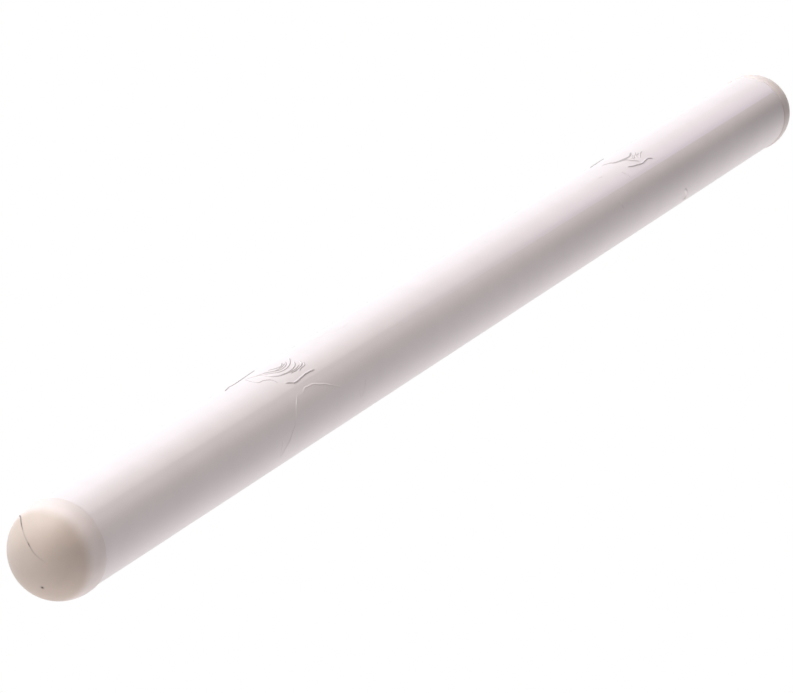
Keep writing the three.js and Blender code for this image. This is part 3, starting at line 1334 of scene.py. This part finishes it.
@dataclass
class Fixing:
    """The wood screw and washer that hold one plug to the dowel."""

    end: End
    washer_hole: float = 2.2 * MM
    washer_round: float = 0.12 * MM
    washer_steps: int = 64
    screw_steps: int = 48
    head_length: float = 2.6 * MM
    head_round: float = 1.0 * MM
    head_bevel: float = 0.3 * MM
    head_band: float = 0.6 * MM
    shoulder_radius: float = 2.8 * MM
    shoulder_from: float = 2.1 * MM
    shank_radius: float = 1.65 * MM
    root_radius: float = 1.5 * MM
    crest_radius: float = 2.0 * MM
    thread_start: float = 6.5 * MM  # from the top of the head
    thread_lead: float = 1 * MM  # how long the shank takes to narrow down to the root
    thread_sink: float = 0.2 * MM  # how far the thread's foot sinks into the root
    thread_steps: int = 24
    thread_turns: int = 10
    thread_pitch: float = 1.8 * MM
    thread_foot: float = 0.55 * MM
    point_length: float = 3 * MM
    recess_width: float = 1.1 * MM
    recess_span: float = 4.4 * MM
    recess_depth: float = 1.7 * MM

    def build(self) -> None:
        """Makes the washer and the screw."""
        zinc = ZincPlate().material()
        label = self.end.label
        settle(self._washer(f"{label}_screw_washer"), f"{label}_screw_washer", zinc)
        settle(self._screw(f"{label}_plug_screw"), f"{label}_plug_screw", zinc)

    def _washer(self, node: str) -> Piece:
        """A flat washer with rolled edges.

        Args:
            node: The washer's CAD node.

        Returns:
            The turned washer.
        """
        place = Stretch.of(node)
        section = pipe(place.low, place.high, self.washer_hole, place.radius, self.washer_round)
        return turn(f"{self.end.label}_washer", section, self.washer_steps)

    def _screw(self, node: str) -> Piece:
        """A pan-head wood screw: turned, with a thread wound on and a cross cut into its head.

        Args:
            node: The screw's CAD node.

        Returns:
            The finished screw.
        """
        place = Stretch.of(node, CAD_SCREW_SIDES)
        length = place.high - place.low
        corners = [
            (0.0, 0.0),
            (0.0, place.radius - self.head_round),
            (self.head_bevel, place.radius - self.head_bevel),
            (self.head_round, place.radius),
            (self.head_round + self.head_band, place.radius),
            (self.shoulder_from, self.shoulder_radius),
            (self.head_length, self.shoulder_radius),
            (self.head_length, self.shank_radius),
            (self.thread_start - self.thread_lead, self.shank_radius),
            (self.thread_start, self.root_radius),
            (length - self.point_length, self.root_radius),
            (length, 0.0),
        ]
        screw = turn(f"{self.end.label}_screw", place.section(self.end, corners), self.screw_steps)
        self._combine(screw, "DIFFERENCE", self._cross(place))
        self._combine(screw, "UNION", [self._thread(place)])
        return screw

    def _thread(self, place: Stretch) -> Piece:
        """The thread: a three-sided ridge, wound right-handed round the shank, with both its ends closed.

        Args:
            place: The screw's CAD node.

        Returns:
            The thread, closed and in its place.
        """
        deselect_all()
        bpy.ops.mesh.primitive_circle_add(vertices=3, radius=self.thread_foot)
        ridge = take_new("thread")
        foot = self.root_radius - self.thread_sink
        corners = [(-self.thread_foot, 0, foot), (0, 0, self.crest_radius), (self.thread_foot, 0, foot)]
        move_points(ridge, np.array(corners))
        way = self.end.value
        apply_modifier(
            ridge,
            "SCREW",
            axis="X",
            angle=math.tau * way,
            screw_offset=self.thread_pitch * way,
            iterations=self.thread_turns,
            steps=self.thread_steps,
            render_steps=self.thread_steps,
        )
        bpy.context.tool_settings.mesh_select_mode = (True, False, False)
        with editing(ridge):
            bpy.ops.mesh.select_all(action="SELECT")
            bpy.ops.mesh.remove_doubles(threshold=WELD)
            bpy.ops.mesh.fill_holes(sides=3)
            bpy.ops.mesh.normals_make_consistent(inside=False)
        ridge.location = (place.inset(self.end, self.thread_start), 0, AXIS_HEIGHT)
        bpy.ops.object.transform_apply(location=True)
        return ridge

    def _cross(self, place: Stretch) -> list[Piece]:
        """The two bars of the cross that is pressed into the head.

        Args:
            place: The screw's CAD node.

        Returns:
            The two bars, in their place.
        """
        bars = []
        for turned_by in (0.0, math.pi / 2):
            deselect_all()
            centre = (place.inset(self.end, 0), 0, AXIS_HEIGHT)
            bpy.ops.mesh.primitive_cube_add(size=1, location=centre, rotation=(turned_by, 0, 0))
            bars.append(take_new("cross_bar", (self.recess_depth * 2, self.recess_width, self.recess_span)))
        return bars

    @staticmethod
    def _combine(piece: Piece, way: str, tools: Sequence[Piece]) -> None:
        """Adds the tools to a piece or cuts them out of it, one after the other, and takes them away.

        Args:
            piece: The piece to change.
            way: The boolean's operation.
            tools: The pieces that are added or cut out.
        """
        for tool in tools:
            apply_modifier(piece, "BOOLEAN", operation=way, object=tool, solver="EXACT")
            bpy.data.meshes.remove(tool.data)
        smooth(piece)


# ---------------- the stage


@dataclass
class Stage:
    """A white table under a soft overhead light, with white behind it and a dim side where the camera is."""

    floor_size: float = 24.0
    floor_drop: float = 0.1 * MM  # under the CAD's lowest flats, clear of the true rounds
    floor_glow: float = 1.0
    key_angle: float = 106.5  # degrees round the club
    key_strength: float = 3.65
    key_colour: tuple[float, float, float] = (1.0, 0.98, 0.94)
    key_spread: float = 50.0
    back_light: float = 1.0
    back_colour: tuple[float, float, float] = (0.7, 0.96, 1.15)
    back_span: Point = (-0.1, 0.7)  # from the dim side to the back, as parts of a step towards +Y
    back_low: float = 0.15  # how much of the back light comes from low down
    raised_span: Point = (0.15, 0.55)  # from low down to high up, as parts of a step towards +Z
    end_light: float = 0.55  # from beyond the near end, and a little behind it
    end_way: tuple[float, float, float] = (-0.91, 0.38, 0.15)
    end_span: Point = (0.6, 0.9)
    end_colour: tuple[float, float, float] = (1.0, 0.95, 0.95)
    horizon_light: float = 1.0
    horizon_span: Point = (0.045, 0.06)  # the band's soft upper edge

    def build(self) -> None:
        """Makes the floor, the world and the light."""
        self._floor()
        self._world()
        self._key()
        bpy.context.scene.view_settings.view_transform = "Standard"

    def _floor(self) -> None:
        """A pale acrylic table, lit from below so that it stays white."""
        deselect_all()
        bpy.ops.mesh.primitive_plane_add(size=self.floor_size, location=(0, 0, -self.floor_drop))
        floor = take_new("floor")
        material, tree = new_tree("backlit_white_acrylic")
        glow = add_node(tree, "Emission", {"Color": (1.0, 1.0, 1.0, 1.0), "Strength": self.floor_glow})
        add_node(tree, "OutputMaterial", {"Surface": glow.outputs[0]})
        dress(floor, material)

    def _world(self) -> None:
        """White surroundings that are dim on the camera's side, apart from a band along the horizon."""
        world = bpy.data.worlds.new("studio")
        bpy.context.scene.world = world
        world.use_nodes = True
        tree = world.node_tree
        tree.nodes.clear()
        way = add_node(tree, "TexCoord", {}).outputs["Generated"]
        axes = add_node(tree, "SeparateXYZ", {"Vector": way}).outputs
        end_ward = add_node(tree, "VectorMath", {0: way, 1: self.end_way}, operation="DOT_PRODUCT")
        levels = []
        for value, (low, high), first, last in (
            (axes["Y"], self.back_span, 0.0, self.back_light),
            (axes["Z"], self.raised_span, self.back_low, 1.0),
            (end_ward.outputs["Value"], self.end_span, 0.0, self.end_light),
            (axes["Z"], self.horizon_span, self.horizon_light, 0.0),
        ):
            inputs = {"Value": value, "From Min": low, "From Max": high, "To Min": first, "To Max": last}
            step = add_node(tree, "MapRange", inputs, interpolation_type="SMOOTHSTEP")
            levels.append(step.outputs["Result"])
        back, raised, end, horizon = levels
        level = add_node(tree, "Math", {0: back, 1: raised}, operation="MULTIPLY").outputs[0]
        cool = add_node(tree, "VectorMath", {0: self.back_colour, "Scale": level}, operation="SCALE")
        warm = add_node(tree, "VectorMath", {0: self.end_colour, "Scale": end}, operation="SCALE")
        both = add_node(tree, "VectorMath", {0: cool.outputs[0], 1: warm.outputs[0]}, operation="ADD")
        whole = add_node(tree, "VectorMath", {0: both.outputs[0], 1: horizon}, operation="MAXIMUM")
        sky = add_node(tree, "Background", {"Color": whole.outputs[0]})
        add_node(tree, "OutputWorld", {"Surface": sky.outputs[0]})

    def _key(self) -> None:
        """A soft overhead light, a little behind the club."""
        lamp = bpy.data.lights.new("overhead_softbox", "SUN")
        lamp.energy = self.key_strength
        lamp.color = self.key_colour
        lamp.angle = math.radians(self.key_spread)
        light = bpy.data.objects.new("overhead_softbox", lamp)
        bpy.context.scene.collection.objects.link(light)
        angle = math.radians(self.key_angle)
        towards = Vector((0, -math.cos(angle), math.sin(angle)))
        light.rotation_mode = "QUATERNION"
        light.rotation_quaternion = towards.to_track_quat("Z", "Y")


@dataclass
class Viewpoint:
    """A long lens that looks along the club from its near end, a little from above."""

    azimuth: float = -62.6
    elevation: float = 19.2
    distance: float = 1.27
    lens: float = 177.3
    sensor: float = 36.0
    aim_right: float = -21.2 * MM
    aim_up: float = -16.6 * MM
    clip: Point = (0.01, 100.0)

    def build(self) -> None:
        """Makes the camera."""
        turn_angle, tilt = math.radians(self.azimuth), math.radians(self.elevation)
        back = Vector(
            (math.sin(turn_angle) * math.cos(tilt), -math.cos(turn_angle) * math.cos(tilt), math.sin(tilt))
        )
        right = Vector((math.cos(turn_angle), math.sin(turn_angle), 0))
        up = back.cross(right)
        data = bpy.data.cameras.new("camera")
        data.lens = self.lens
        data.sensor_width = self.sensor
        data.clip_start, data.clip_end = self.clip
        camera = bpy.data.objects.new("camera", data)
        bpy.context.scene.collection.objects.link(camera)
        middle = Vector((0, 0, AXIS_HEIGHT))
        camera.location = middle + right * self.aim_right + up * self.aim_up + back * self.distance
        camera.rotation_mode = "QUATERNION"
        camera.rotation_quaternion = (-back).to_track_quat("-Z", "Y")
        bpy.context.scene.camera = camera


def main() -> None:
    """Builds the club, piece by piece, and the stage that it lies on."""
    Viewpoint().build()
    Stage().build()
    WrapFilm().build()
    milky = MilkyPolyethylene().material()
    for end in End:
        EndCap(end).build(milky)
    BodyTube().build()
    WoodenCore().build()
    CentringRings().build()
    for end in End:
        Fixing(end).build()


if __name__ == "__main__":
    main()
